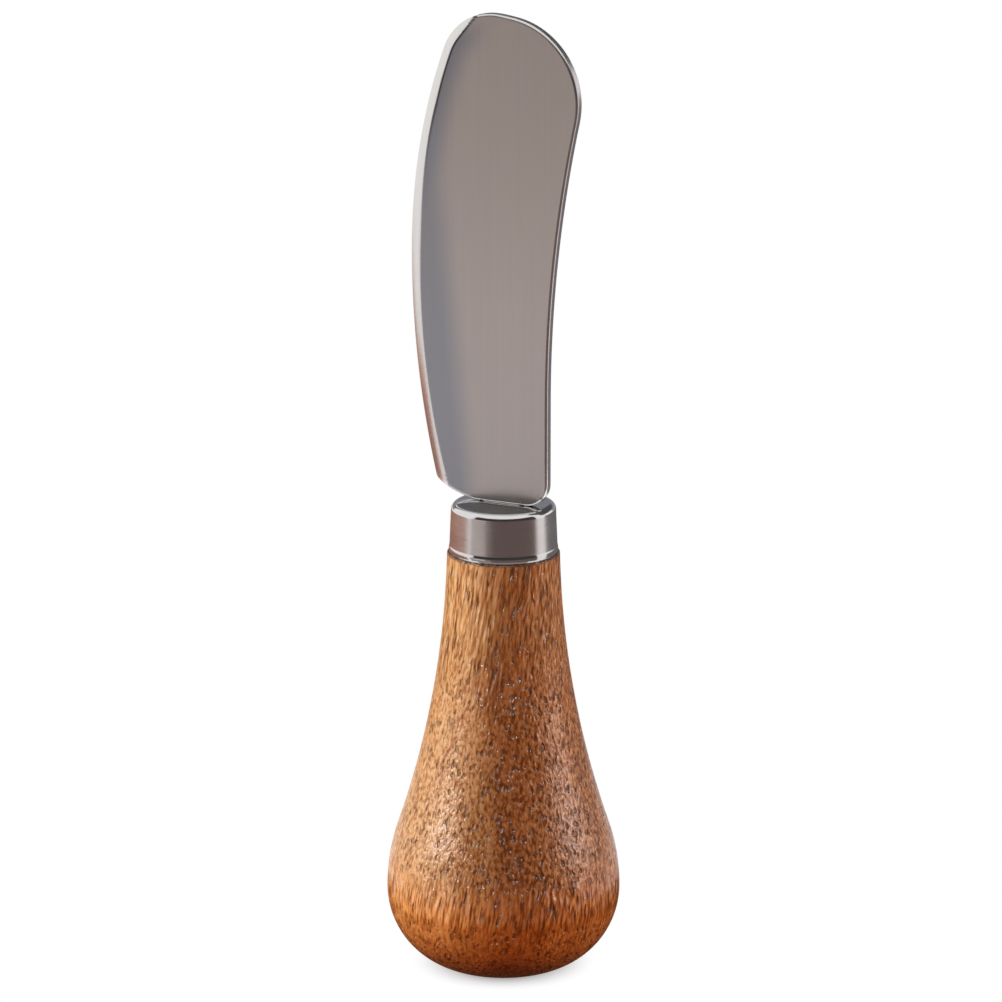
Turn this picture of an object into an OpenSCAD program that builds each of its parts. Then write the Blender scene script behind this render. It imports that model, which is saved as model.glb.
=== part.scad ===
// Cheese spreader that stands upright on its handle: a stamped steel blade with a flat tang,
// a drawn steel ferrule, a turned wooden handle and the epoxy that bonds the three together.
// The origin is the centre of the foot and +Z runs up the axis of the handle.
// The blade lies in the XZ plane, with its ground belly towards -X and its spine towards +X.

/* [Handle] */
// Height of the wooden handle, from the foot to the shoulder under the ferrule
handle_h = 58.5; // [54:0.5:64]
// Diameter of the bulb at its widest circle
bulb_d = 31.9; // [29:0.1:35]
// Height of the widest circle above the foot
bulb_z = 11; // [9:0.5:13]
// Diameter of the flat foot
foot_d = 14.6; // [12:0.2:18]
// Angle that the underside turns through, from the widest circle to the foot
underside_sweep = 78; // [72:1:84]
// Radius of the round shoulder above the widest circle
bulb_shoulder_r = 27; // [24:1:30]
// Radius of the hollow curve of the neck
neck_curve_r = 128; // [110:1:150]
// Diameter of the neck at the ferrule
neck_d = 15.3; // [15:0.1:16]
// Rounding of the neck's top edge
neck_edge_r = 0.2; // [0.1:0.1:0.6]

/* [Ferrule] */
// Height of the ferrule
ferrule_h = 6.8; // [6:0.2:8]
// Outer diameter of the ferrule at its bead
ferrule_d = 14.8; // [14.4:0.1:15]
// Outer diameter of the ferrule at its top
ferrule_top_d = 14.2; // [13.8:0.1:14.4]
// Rounding of the ferrule's top edge
ferrule_top_r = 0.9; // [0.4:0.1:1.2]
// Height of the bead around the ferrule's lower rim
bead_h = 1; // [0.8:0.1:1.4]
// Radius of the bead's round face
bead_r = 1.6; // [1:0.1:2.4]
// Depth of the step from the bead in to the side wall
bead_step = 0.1; // [0.05:0.05:0.2]
// Thickness of the ferrule's side wall at its bead
ferrule_wall = 1.1; // [1:0.1:1.3]
// Thickness of the cap that the blade sits on
ferrule_cap = 1; // [0.8:0.1:1.4]

/* [Blade] */
// Thickness of the steel sheet
blade_t = 1.5; // [1:0.1:2]
// Height of the crown's circle above the ferrule
blade_h = 66.6; // [62:0.1:72]
// How far the belly stands out from the handle's axis
belly_reach = 13.6; // [12:0.1:15]
// Height of the belly's widest point above the ferrule
belly_z = 33.2; // [30:0.1:36]
// Radius of the cutting edge below the widest point
belly_low_r = 129; // [116:1:144]
// Radius of the cutting edge above the widest point
belly_high_r = 82; // [76:1:90]
// Distance of the spine from the handle's axis
spine_reach = 6.8; // [6:0.1:7.5]
// Height above the ferrule at which the spine starts to flare
spine_z = 14.7; // [12:0.1:18]
// Radius of the spine's hollow flare
spine_r = 177; // [165:1:190]
// Radius of the crown between the two tip corners
crown_r = 31.5; // [29:0.1:34]
// How far the middle of the crown lies towards the belly
crown_shift = 3.7; // [3:0.1:4.5]
// Corner of the tip on the belly's side
belly_tip_r = 7.8; // [7:0.1:8.6]
// Corner of the tip on the spine's side
spine_tip_r = 11.2; // [10.5:0.1:12]
// Radius of the curve from the seat up to the heel
heel_curve_r = 12; // [10:0.5:14]
// How far towards the belly the heel's curve starts
heel_start = 2.5; // [2:0.1:3]
// Corner of the heel, where the cutting edge starts
heel_r = 1; // [0.6:0.1:1.5]
// Corner between the spine and the seat
seat_corner_r = 3.2; // [2:0.1:3.5]

/* [Edge] */
// Distance from the handle's axis, at the seat, of the line where the flat grind starts
flat_start = 3.7; // [3:0.1:5]
// Lean of that line towards the belly
flat_lean = 6.1; // [5:0.1:7]
// Slope at which the flat grind thins each face towards the belly
flat_slope = 2; // [1:0.1:3]
// Angle of the bevel ground along the belly, on each face
bevel_angle = 14; // [10:0.5:20]
// Thickness that the bevels leave at the edge
edge_t = 0.4; // [0.3:0.1:0.6]
// Radius of the one sweep along the whole belly that grinds the bevel
grind_r = 100; // [96:1:104]

/* [Tang and bond] */
// Width of the tang
tang_w = 6.4; // [5.5:0.1:7]
// Length of the tang below the ferrule's top
tang_l = 34; // [26:1:40]
// Radius of the notches that key the tang into the epoxy
notch_r = 0.9; // [0.5:0.1:1.2]
// Number of notches on each edge of the tang
notches = 3; // [1:1:4]
// Play between the tang and the ferrule's slot, on each side
slot_play = 0.1; // [0.05:0.05:0.3]
// Diameter of the hole drilled into the handle
hole_d = 8.4; // [8.2:0.1:9]
// Depth that the hole reaches past the end of the tang
hole_spare = 2; // [1:0.5:4]
// Length of the tenon that the ferrule slides over
tenon_l = 5.2; // [4:0.1:5.2]
// Thickness of the epoxy film between the tenon and the ferrule
film_t = 0.15; // [0.1:0.05:0.25]

/* [Hidden] */

$fn = 96;

// Longest straight step along a curve, and the fewest steps that a curve gets
curve_step = 1.2;
curve_steps_min = 6;
// Angle at the point of the drill, measured from the hole's end face
drill_point = 31;
// Overlap that lets a cut clear the face it starts from
clear = 1;
// Widest bevel that the grinding ring can cut
bevel_reach = 4;
// Facets of the grinding ring, which is far wider than the other round shapes
grind_facets = 360;

seat_z = handle_h + ferrule_h;
cap_under_z = seat_z - ferrule_cap;
tenon_top_z = handle_h + tenon_l;
tang_end_z = seat_z - tang_l;
hole_end_z = tang_end_z - hole_spare;
hole_r = hole_d / 2;
drill_point_z = hole_end_z - hole_r * tan(drill_point);
ferrule_bore_r = ferrule_d / 2 - ferrule_wall;
tenon_r = ferrule_bore_r - film_t;

// Direction, in degrees, from one point to another
function aim(from, to) = atan2(to[1] - from[1], to[0] - from[0]);

// The same direction counted from 0 to 360, for an arc that may cross 180
function full_aim(from, to) = (aim(from, to) + 360) % 360;

// Points along an arc
function arc(centre, r, from, to) =
    let (steps = max(curve_steps_min, ceil(abs(to - from) * PI / 180 * r / curve_step)))
    [for (i = [0:steps]) let (a = from + (to - from) * i / steps) centre + r * [cos(a), sin(a)]];

// Crossing of two circles that lies to the left of the way from a to b
function crossing(a, a_r, b, b_r) =
    let (
        gap = norm(b - a),
        ahead = (b - a) / gap,
        along = (a_r ^ 2 - b_r ^ 2 + gap ^ 2) / (2 * gap)
    )
    a + along * ahead + sqrt(a_r ^ 2 - along ^ 2) * [-ahead[1], ahead[0]];

// Centres of the arcs that make the outline of the blade, each tangent to its neighbours
belly_low_c = [belly_low_r - belly_reach, seat_z + belly_z];
belly_high_c = [belly_high_r - belly_reach, seat_z + belly_z];
spine_c = [spine_reach + spine_r, seat_z + spine_z];
crown_c = [-crown_shift, seat_z + blade_h - crown_r];
belly_tip_c = crossing(crown_c, crown_r - belly_tip_r, belly_high_c, belly_high_r - belly_tip_r);
spine_tip_c = crossing(crown_c, crown_r - spine_tip_r, spine_c, spine_r + spine_tip_r);
heel_curve_c = [-heel_start, seat_z + heel_curve_r];
heel_c = crossing(belly_low_c, belly_low_r - heel_r, heel_curve_c, heel_curve_r - heel_r);
seat_corner_c = [spine_reach - seat_corner_r, seat_z + seat_corner_r];

// Directions in which one arc of the outline hands over to the next
heel_start_a = aim(heel_curve_c, heel_c);
heel_end_a = aim(belly_low_c, heel_c);
belly_tip_a = aim(belly_high_c, belly_tip_c);
crown_start_a = aim(crown_c, belly_tip_c);
crown_end_a = aim(crown_c, spine_tip_c);
spine_tip_a = aim(spine_tip_c, spine_c);
flare_end_a = aim(spine_c, spine_tip_c);

blade_outline = concat(
    arc(seat_corner_c, seat_corner_r, 0, -90),
    arc(heel_curve_c, heel_curve_r, -90, heel_start_a),
    arc(heel_c, heel_r, heel_start_a, heel_end_a),
    arc(belly_low_c, belly_low_r, heel_end_a, -180),
    arc(belly_high_c, belly_high_r, 180, belly_tip_a),
    arc(belly_tip_c, belly_tip_r, belly_tip_a, crown_start_a),
    arc(crown_c, crown_r, crown_start_a, crown_end_a),
    arc(spine_tip_c, spine_tip_r, crown_end_a, spine_tip_a),
    arc(spine_c, spine_r, flare_end_a, 180)
);

// The grind starts at the heel's corner and runs out at the tip, so its circle passes through both
heel_end = belly_low_c + belly_low_r * [cos(heel_end_a), sin(heel_end_a)];
belly_end = belly_high_c + belly_high_r * [cos(belly_tip_a), sin(belly_tip_a)];
grind_c = crossing(belly_end, grind_r, heel_end, grind_r);

// Curves of the handle's profile, from the axis outwards
underside_w = (bulb_d / 2 - foot_d / 2) / (1 - cos(underside_sweep));
underside_h = bulb_z / sin(underside_sweep);
underside_c = [bulb_d / 2 - underside_w, bulb_z];
underside_steps = 24;
shoulder_c = [bulb_d / 2 - bulb_shoulder_r, bulb_z];
neck_top = [neck_d / 2, handle_h - neck_edge_r];
neck_c = crossing(neck_top, neck_curve_r, shoulder_c, bulb_shoulder_r + neck_curve_r);
neck_edge_c = neck_top - [neck_edge_r, 0];

handle_profile = concat(
    [[0, 0]],
    [for (i = [underside_steps:-1:1])
        let (a = underside_sweep * i / underside_steps)
        underside_c + [underside_w * cos(a), -underside_h * sin(a)]],
    arc(shoulder_c, bulb_shoulder_r, 0, aim(shoulder_c, neck_c)),
    arc(neck_c, neck_curve_r, full_aim(neck_c, shoulder_c), full_aim(neck_c, neck_top)),
    arc(neck_edge_c, neck_edge_r, 0, 90),
    [[tenon_r, handle_h], [tenon_r, tenon_top_z], [0, tenon_top_z]]
);

// Places a flat shape of the XY plane upright in the XZ plane, with its thickness about y = 0
module upright(thickness) {
    rotate([90, 0, 0]) linear_extrude(thickness, center = true) children();
}

// Flat shape of the tang, with a row of notches down each edge
module tang_shape() {
    notch_pitch = (tenon_top_z - tang_end_z) / (notches + 1);
    difference() {
        translate([-tang_w / 2, tang_end_z]) square([tang_w, tang_l + clear]);
        for (side = [-1, 1], i = [1:notches])
            translate([side * tang_w / 2, tang_end_z + i * notch_pitch]) circle(notch_r);
    }
}

// Wedge that thins one face of the blade from the grind line to the belly
module flat_grind() {
    size = [2 * belly_reach, blade_h + 2 * clear, blade_t];
    translate([-flat_start, seat_z, blade_t / 2]) rotate(flat_lean) rotate([0, -flat_slope, 0])
        translate([clear - size[0], -clear, 0]) cube(size);
}

// Ring that grinds the bevel of one face along the belly
module bevel_grind() {
    rise = tan(bevel_angle);
    translate([grind_c[0], grind_c[1], edge_t / 2]) rotate_extrude($fn = grind_facets) polygon([
        [grind_r - bevel_reach, rise * bevel_reach],
        [grind_r + clear, -rise * clear],
        [grind_r + clear, rise * bevel_reach]
    ]);
}

module blade() {
    color("#a09894") {
        difference() {
            upright(blade_t) polygon(blade_outline);
            rotate([90, 0, 0]) for (face = [0, 1]) mirror([0, 0, face]) {
                flat_grind();
                bevel_grind();
            }
        }
        upright(blade_t) tang_shape();
    }
}

module ferrule() {
    slot = [tang_w + 2 * slot_play, blade_t + 2 * slot_play, 3 * ferrule_cap];
    bead_c = [ferrule_d / 2 - bead_r, handle_h + bead_h / 2];
    bead_swing = asin(bead_h / 2 / bead_r);
    edge_c = [ferrule_top_d / 2 - ferrule_top_r, seat_z - ferrule_top_r];
    color("#b4aca8") difference() {
        rotate_extrude() polygon(concat(
            [[0, cap_under_z], [ferrule_bore_r, cap_under_z], [ferrule_bore_r, handle_h]],
            arc(bead_c, bead_r, -bead_swing, bead_swing),
            [[ferrule_d / 2 - bead_step, handle_h + bead_h + bead_step]],
            arc(edge_c, ferrule_top_r, 0, 90),
            [[0, seat_z]]
        ));
        translate([0, 0, seat_z]) cube(slot, center = true);
    }
}

module handle() {
    color("#8f5a35") difference() {
        rotate_extrude() polygon(handle_profile);
        translate([0, 0, hole_end_z]) cylinder(h = tenon_top_z - hole_end_z + clear, r = hole_r);
        translate([0, 0, drill_point_z]) cylinder(h = hole_end_z - drill_point_z, r1 = 0, r2 = hole_r);
    }
}

// Cured in one piece: around the tang, under the ferrule's cap and around the tenon
module epoxy_bond() {
    color("#c9b58a") difference() {
        rotate_extrude() polygon([
            [0, drill_point_z], [hole_r, hole_end_z], [hole_r, tenon_top_z], [tenon_r, tenon_top_z],
            [tenon_r, handle_h], [ferrule_bore_r, handle_h], [ferrule_bore_r, cap_under_z], [0, cap_under_z]
        ]);
        upright(blade_t) tang_shape();
    }
}

blade();
ferrule();
handle();
epoxy_bond();
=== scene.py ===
"""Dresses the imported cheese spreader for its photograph.

A brushed steel blade with a ground edge, a satin ferrule with polished edges, a turned wooden
handle and the epoxy that bonds them, standing on a pale floor in soft studio light.
"""
import logging
import math
from dataclasses import dataclass
from enum import Enum
from typing import Any, Optional, Sequence, Union

import bpy
import numpy as np
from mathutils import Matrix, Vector
from mathutils.geometry import delaunay_2d_cdt


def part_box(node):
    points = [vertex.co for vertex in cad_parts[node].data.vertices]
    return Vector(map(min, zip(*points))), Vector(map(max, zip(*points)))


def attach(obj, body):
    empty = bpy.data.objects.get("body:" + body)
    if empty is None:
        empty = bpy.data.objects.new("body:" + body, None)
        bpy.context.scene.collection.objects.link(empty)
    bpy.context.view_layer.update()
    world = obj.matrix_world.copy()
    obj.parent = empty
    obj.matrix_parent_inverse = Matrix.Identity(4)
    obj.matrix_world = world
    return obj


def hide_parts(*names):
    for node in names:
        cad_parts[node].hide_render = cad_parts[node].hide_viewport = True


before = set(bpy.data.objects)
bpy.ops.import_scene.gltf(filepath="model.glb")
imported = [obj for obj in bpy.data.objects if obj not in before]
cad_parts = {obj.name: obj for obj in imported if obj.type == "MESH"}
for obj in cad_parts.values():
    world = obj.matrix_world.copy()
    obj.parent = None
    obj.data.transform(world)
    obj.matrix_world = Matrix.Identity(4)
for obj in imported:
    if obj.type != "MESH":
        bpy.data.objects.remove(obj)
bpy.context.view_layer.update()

LOG = logging.getLogger("cheese_spreader")

MM = 0.001
BODY = "root"
MIDDLE = Vector((0, 0, 66 * MM))
WHITE = (1.0, 1.0, 1.0)

Pair = tuple[float, float]
Triple = tuple[float, float, float]
Colour = tuple[float, float, float]
Number = Union[float, np.ndarray, "Signal"]


class Zone(Enum):
    """Finish of a face of the ferrule, in the order of its materials."""

    SATIN = 0
    POLISHED = 1


class Mark(Enum):
    """Where the blade is worked, and where light and shade are painted on it, by the name of the layer of
    its mesh.
    """

    FLAT = "flat_grind"
    BEVEL = "bevel"
    LINE = "bevel_line_shade"
    RIM_HIGHLIGHT = "rim"


def aim(start: np.ndarray, end: np.ndarray) -> float:
    """Direction from one flat point to another, in radians."""
    return math.atan2(end[1] - start[1], end[0] - start[0])


def full_aim(start: np.ndarray, end: np.ndarray) -> float:
    """The same direction counted from 0 to a full turn, for an arc that may cross half a turn."""
    return aim(start, end) % math.tau


def arc(centre: np.ndarray, radius: float, start: float, end: float, step: float) -> np.ndarray:
    """Points along an arc.

    Args:
        centre: Centre of the arc.
        radius: Radius of the arc.
        start: Direction of the first point from the centre, in radians.
        end: Direction of the last point.
        step: Longest distance between neighbouring points.

    Returns:
        The points, one in each row.
    """
    fewest = 6
    count = max(fewest, math.ceil(abs(end - start) * radius / step))
    angles = np.linspace(start, end, count + 1)
    return centre + radius * np.column_stack((np.cos(angles), np.sin(angles)))


def line(start: Sequence[float], end: Sequence[float], step: float) -> np.ndarray:
    """Evenly spaced points along a straight stretch, both ends among them."""
    count = max(1, math.ceil(math.dist(start, end) / step))
    return np.linspace(start, end, count + 1)


def crossing(a: np.ndarray, a_radius: float, b: np.ndarray, b_radius: float) -> np.ndarray:
    """Crossing of two circles that lies to the left of the way from a to b.

    Args:
        a: Centre of the first circle.
        a_radius: Its radius.
        b: Centre of the second circle.
        b_radius: Its radius.

    Returns:
        The crossing point.
    """
    gap = np.linalg.norm(b - a)
    ahead = (b - a) / gap
    along = (a_radius**2 - b_radius**2 + gap**2) / (2 * gap)
    aside = math.sqrt(a_radius**2 - along**2)
    return a + along * ahead + aside * np.array((-ahead[1], ahead[0]))


def ease(low: float, high: float, values: np.ndarray) -> np.ndarray:
    """Rises smoothly from 0 at low to 1 at high."""
    part = np.clip((values - low) / (high - low), 0, 1)
    return part * part * (3 - 2 * part)


def mixed(first: Number, second: Number, part: Number) -> Number:
    """Runs from the first value to the second as part goes from 0 to 1."""
    return first + part * (second - first)


def slope(angle: float) -> float:
    """Rise over each length along, at an angle in degrees."""
    return math.tan(math.radians(angle))


def soft_min(a: np.ndarray, b: np.ndarray, reach: float) -> np.ndarray:
    """The smaller of two heights, blended where they differ by less than reach."""
    part = np.clip(0.5 + 0.5 * (b - a) / reach, 0, 1)
    return b + (a - b) * part - reach * part * (1 - part)


def compass(azimuth: float) -> Vector:
    """Level direction at an azimuth in degrees: 0 is the front (-Y) and 90 is +X."""
    turn = math.radians(azimuth)
    return Vector((math.sin(turn), -math.cos(turn), 0))


def sky(azimuth: float, elevation: float) -> Vector:
    """Direction at an azimuth and a height above the level, in degrees."""
    rise = math.radians(elevation)
    return math.cos(rise) * compass(azimuth) + Vector((0, 0, math.sin(rise)))


def link(name: str, data: bpy.types.ID) -> bpy.types.Object:
    """Makes an object of a mesh, a lamp or a camera and adds it to the scene."""
    made = bpy.data.objects.new(name, data)
    bpy.context.scene.collection.objects.link(made)
    return made


class Shell:
    """Collects the faces of one mesh, with a normal at each of their corners."""

    def __init__(self) -> None:
        """Starts with no faces."""
        self.vertices: list[Triple] = []
        self.faces: list[Sequence[int]] = []
        self.normals: list[Sequence[float]] = []
        self.zones: list[int] = []

    def add_points(self, points: np.ndarray) -> range:
        """Adds points and gives their places in the list of vertices."""
        first = len(self.vertices)
        self.vertices.extend(map(tuple, points))
        return range(first, len(self.vertices))

    def add_face(self, corners: Sequence[int], normals: Sequence[Sequence[float]], zone: int = 0) -> None:
        """Adds one face.

        Args:
            corners: Its vertices, anticlockwise from outside.
            normals: The normal at each of them.
            zone: Which of the object's materials it takes.
        """
        self.faces.append(corners)
        self.normals.extend(normals)
        self.zones.append(zone)

    def turn(self, profile: np.ndarray, zones: Sequence[int], sides: int) -> list[range]:
        """Turns a profile about the Z axis.

        Args:
            profile: Radius and height of each point, with the outside on the right of the way.
            zones: Material of the stretch that starts at each point but the last.
            sides: Number of flat sides in a full turn.

        Returns:
            The vertices of each ring, one vertex where the profile meets the axis.
        """
        angles = np.linspace(0, math.tau, sides, endpoint=False)
        level = np.column_stack((np.cos(angles), np.sin(angles)))
        rings = []
        for radius, height in profile:
            count = sides if radius > 0 else 1
            circle = np.column_stack((radius * level[:count], np.full(count, height)))
            rings.append(self.add_points(circle))
        starts, ends = self._profile_normals(profile)
        for j, zone in enumerate(zones):
            low, high = rings[j], rings[j + 1]
            for k in range(sides):
                after = (k + 1) % sides
                corners = [(low, k, starts), (low, after, starts), (high, after, ends), (high, k, ends)]
                if len(low) == 1:
                    corners.pop(1)
                elif len(high) == 1:
                    corners.pop(2)
                places = [ring[side % len(ring)] for ring, side, _ in corners]
                normals = [(*(side_n[j][0] * level[side]), side_n[j][1]) for _, side, side_n in corners]
                self.add_face(places, normals, zone)
        return rings

    @staticmethod
    def _profile_normals(profile: np.ndarray) -> tuple[np.ndarray, np.ndarray]:
        """Normals of a profile's stretches.

        Args:
            profile: Points of the profile.

        Returns:
            The normal at the start and at the end of each stretch, smoothed where stretches
            meet at less than the crease angle, with the longer stretch counting for more.
        """
        crease = math.cos(math.radians(35))
        way = np.diff(profile, axis=0)
        length = np.linalg.norm(way, axis=1, keepdims=True)
        plain = np.column_stack((way[:, 1], -way[:, 0])) / length
        starts, ends = plain.copy(), plain.copy()
        for j in range(1, len(plain)):
            if plain[j] @ plain[j - 1] > crease:
                shared = plain[j] * length[j] + plain[j - 1] * length[j - 1]
                shared /= np.linalg.norm(shared)
                starts[j] = shared
                ends[j - 1] = shared
        return starts, ends

    def build(self, name: str, materials: Sequence[bpy.types.Material]) -> bpy.types.Object:
        """Makes the object.

        Args:
            name: Name of the object and its mesh.
            materials: Its materials, in the order of the zones.

        Returns:
            The object, linked to the scene.
        """
        mesh = bpy.data.meshes.new(name)
        mesh.from_pydata(self.vertices, [], self.faces)
        mesh.polygons.foreach_set("use_smooth", [True] * len(self.faces))
        mesh.polygons.foreach_set("material_index", self.zones)
        for material in materials:
            mesh.materials.append(material)
        mesh.update()
        mesh.normals_split_custom_set([tuple(normal) for normal in self.normals])
        return link(name, mesh)


class Signal:
    """A shader socket that takes part in Python expressions."""

    def __init__(self, shader: "Shader", socket: bpy.types.NodeSocket) -> None:
        """Wraps an output socket of a shader's node."""
        self.shader = shader
        self.socket = socket

    def _math(self, operation: str, first: Number, second: Number) -> "Signal":
        """Adds the Math node of one operation."""
        return self.shader.node("ShaderNodeMath", {"operation": operation}, {0: first, 1: second})

    def __add__(self, other: Number) -> "Signal":
        """This value plus another."""
        return self._math("ADD", self, other)

    def __radd__(self, other: Number) -> "Signal":
        """Another value plus this one."""
        return self._math("ADD", other, self)

    def __sub__(self, other: Number) -> "Signal":
        """This value minus another."""
        return self._math("SUBTRACT", self, other)

    def __rsub__(self, other: Number) -> "Signal":
        """Another value minus this one."""
        return self._math("SUBTRACT", other, self)

    def __mul__(self, other: Number) -> "Signal":
        """This value times another."""
        return self._math("MULTIPLY", self, other)

    def __rmul__(self, other: Number) -> "Signal":
        """Another value times this one."""
        return self._math("MULTIPLY", other, self)

    def most(self, other: Number) -> "Signal":
        """The larger of this value and another."""
        return self._math("MAXIMUM", self, other)

    def swing(self) -> "Signal":
        """How far this value lies from the middle of the range from 0 to 1."""
        return self - 0.5

    def eased(self, low: float, high: float) -> "Signal":
        """Runs smoothly from 0 where this value is low to 1 where it is high."""
        settings = {"interpolation_type": "SMOOTHSTEP"}
        return self.shader.node(
            "ShaderNodeMapRange", settings, {"Value": self, "From Min": low, "From Max": high}
        )

    def output(self, name: str) -> "Signal":
        """Another output of the node that this socket is on."""
        return Signal(self.shader, self.socket.node.outputs[name])


class Shader:
    """A node tree that is being written."""

    def __init__(self, owner: Union[bpy.types.Material, bpy.types.World]) -> None:
        """Empties the owner's node tree to start from nothing."""
        owner.use_nodes = True
        self.owner = owner
        self.tree = owner.node_tree
        self.tree.nodes.clear()

    @classmethod
    def for_material(cls, name: str) -> "Shader":
        """Starts a new material."""
        return cls(bpy.data.materials.new(name))

    def node(
        self,
        kind: str,
        settings: Optional[dict[str, Any]] = None,
        sockets: Optional[dict[Union[int, str], Any]] = None,
        output: Union[int, str] = 0,
    ) -> Signal:
        """Adds a node.

        Args:
            kind: Blender's name of the node type.
            settings: Its properties, and a ramp's stops as (position, colour) pairs.
            sockets: Values or links of its input sockets, by name or number.
            output: The output that the expression goes on with.

        Returns:
            That output, or an empty signal for a node that has none.
        """
        made = self.tree.nodes.new(kind)
        for name, value in (settings or {}).items():
            if name == "stops":
                self._set_stops(made.color_ramp, value)
            else:
                setattr(made, name, value)
        for key, value in (sockets or {}).items():
            if isinstance(value, Signal):
                self.tree.links.new(value.socket, made.inputs[key])
            elif isinstance(value, tuple) and made.inputs[key].type == "RGBA":
                made.inputs[key].default_value = (*value, 1)
            else:
                made.inputs[key].default_value = value
        return Signal(self, made.outputs[output] if len(made.outputs) else None)

    @staticmethod
    def _set_stops(ramp: bpy.types.ColorRamp, stops: Sequence[tuple[float, Colour]]) -> None:
        """Writes the stops of a colour ramp, which starts with two of its own."""
        for _ in stops[2:]:
            ramp.elements.new(1)
        for element, (position, colour) in zip(ramp.elements, stops):
            element.position = position
            element.color = (*colour, 1)

    def vector(self, operation: str, first: Any, second: Any) -> Signal:
        """Adds a Vector Math node."""
        return self.node("ShaderNodeVectorMath", {"operation": operation}, {0: first, 1: second})

    def blend(self, part: Number, first: Any, second: Any, how: str = "MIX") -> Signal:
        """Mixes two colours.

        Args:
            part: Share of the second colour.
            first: First colour.
            second: Second colour.
            how: Blender's name of the way of mixing.

        Returns:
            The mixed colour.
        """
        settings = {"data_type": "RGBA", "blend_type": how}
        return self.node("ShaderNodeMix", settings, {0: part, 6: first, 7: second}, 2)

    def shaded(self, colour: Any, level: Signal) -> Signal:
        """A colour times a level of light and shade."""
        grey = self.node("ShaderNodeCombineColor", None, {0: level, 1: level, 2: level})
        return self.blend(1.0, colour, grey, "MULTIPLY")

    def millimetres(self) -> Signal:
        """Place on the object, in millimetres."""
        place = self.node("ShaderNodeTexCoord", output="Object")
        return self.vector("MULTIPLY", place, (1 / MM,) * 3)

    def noise(self, place: Signal, pitch: Triple, detail: float = 2) -> Signal:
        """Cloudy noise.

        Args:
            place: Where it is read, in millimetres.
            pitch: Size of its clouds along each axis, in millimetres.
            detail: Number of finer layers in it.

        Returns:
            A value around 0.5.
        """
        scaled = self.vector("DIVIDE", place, pitch)
        return self.node("ShaderNodeTexNoise", None, {"Vector": scaled, "Scale": 1, "Detail": detail})

    def drops(self, place: Signal, pitch: Triple, size: Pair, ragged: Number = 0) -> Signal:
        """Scattered drops.

        Args:
            place: Where they are read, in millimetres.
            pitch: Their spacing along each axis, in millimetres.
            size: Radii of a drop's full middle and of its rim, as shares of the spacing.
            ragged: What the rim is drawn in by, as a share of the spacing.

        Returns:
            1 in the middle of a drop, and 0 between the drops.
        """
        scaled = self.vector("DIVIDE", place, pitch)
        away = self.node("ShaderNodeTexVoronoi", None, {"Vector": scaled, "Scale": 1})
        return 1 - (away + ragged).eased(*size)

    def bump(self, height: Signal, depth: float) -> Signal:
        """Normal of a relief whose height of 0 to 1 stands for a depth in metres."""
        return self.node("ShaderNodeBump", None, {"Strength": 1, "Distance": depth, "Height": height})

    def glow(self, colour: Colour) -> Signal:
        """Plain light of a colour."""
        return self.node("ShaderNodeEmission", None, {"Color": colour, "Strength": 1.0})

    def ended(self, shading: Signal) -> bpy.types.Material:
        """Ends a material with its shading."""
        self.node("ShaderNodeOutputMaterial", None, {"Surface": shading})
        return self.owner

    def surface(self, **sockets: Any) -> bpy.types.Material:
        """Ends a material with a Principled surface.

        Args:
            sockets: Values and links of its sockets, with _ for the spaces in their names.

        Returns:
            The material.
        """
        named = {name.replace("_", " "): value for name, value in sockets.items()}
        return self.ended(self.node("ShaderNodeBsdfPrincipled", None, named))


@dataclass(frozen=True)
class BladeSteel:
    """Stainless steel brushed along the blade, with a flat grind, a crossways bevel and painted light: a
    painted darker bluish reflection on the flat grind and beside the bevel, a painted dark line inside the
    bevel and a painted highlight on the edges near the foot.
    """

    face: Colour = (0.72, 0.693, 0.68)
    # Painted reflection: the flat grind and the strip beside the bevel take this darker bluish colour
    flat: Colour = (0.41, 0.455, 0.53)
    # Painted shade: a dark line along the inner border of the bevel
    line: Colour = (0.09, 0.09, 0.1)
    bevel: Colour = (0.74, 0.72, 0.705)
    # Painted highlight: the rounded edges near the foot are painted near white
    rim: Colour = (0.95, 0.94, 0.94)
    brush_pitch: Triple = (0.11, 0.11, 16)
    cross_pitch: Triple = (2.5, 2.5, 0.13)
    streak_pitch: Triple = (0.6, 0.6, 40)
    cloud_pitch: Triple = (6, 6, 14)
    brush_tone: float = 0.07
    streak_tone: float = 0.06
    brush_depth: float = 0.0015 * MM
    face_roughness: float = 0.3
    bevel_roughness: float = 0.17
    roughness_play: float = 0.06

    def material(self) -> bpy.types.Material:
        """Writes the material, which reads where the mesh says that it is ground and where light and shade
        are painted on it.
        """
        shader = Shader.for_material("blade_brushed_steel")
        place = shader.millimetres()
        flat, bevel, painted_line_mark, rim = (
            shader.node("ShaderNodeAttribute", {"attribute_name": mark.value}, None, "Fac")
            for mark in Mark
        )
        brush = shader.noise(place, self.brush_pitch, detail=3)
        cross = shader.noise(place, self.cross_pitch, detail=3)
        clouds = shader.noise(place, self.cloud_pitch)
        streaks = shader.noise(place, self.streak_pitch)
        lines = mixed(brush, cross, bevel)
        face = shader.blend(flat, self.face, self.flat)
        # Painted shade: the dark line inside the bevel
        lined = shader.blend(painted_line_mark, face, self.line)
        # Painted highlight on the rim, laid over the bevel and the face
        metal = shader.blend(rim, shader.blend(bevel, lined, self.bevel), self.rim)
        level = 1 - self.brush_tone + self.brush_tone * lines + self.streak_tone * streaks
        rough = mixed(self.face_roughness, self.bevel_roughness, bevel.most(rim))
        return shader.surface(
            Base_Color=shader.shaded(metal, level),
            Metallic=1.0,
            Roughness=rough + self.roughness_play * (lines.swing() + clouds.swing()),
            Normal=shader.bump(lines, self.brush_depth),
        )


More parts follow.
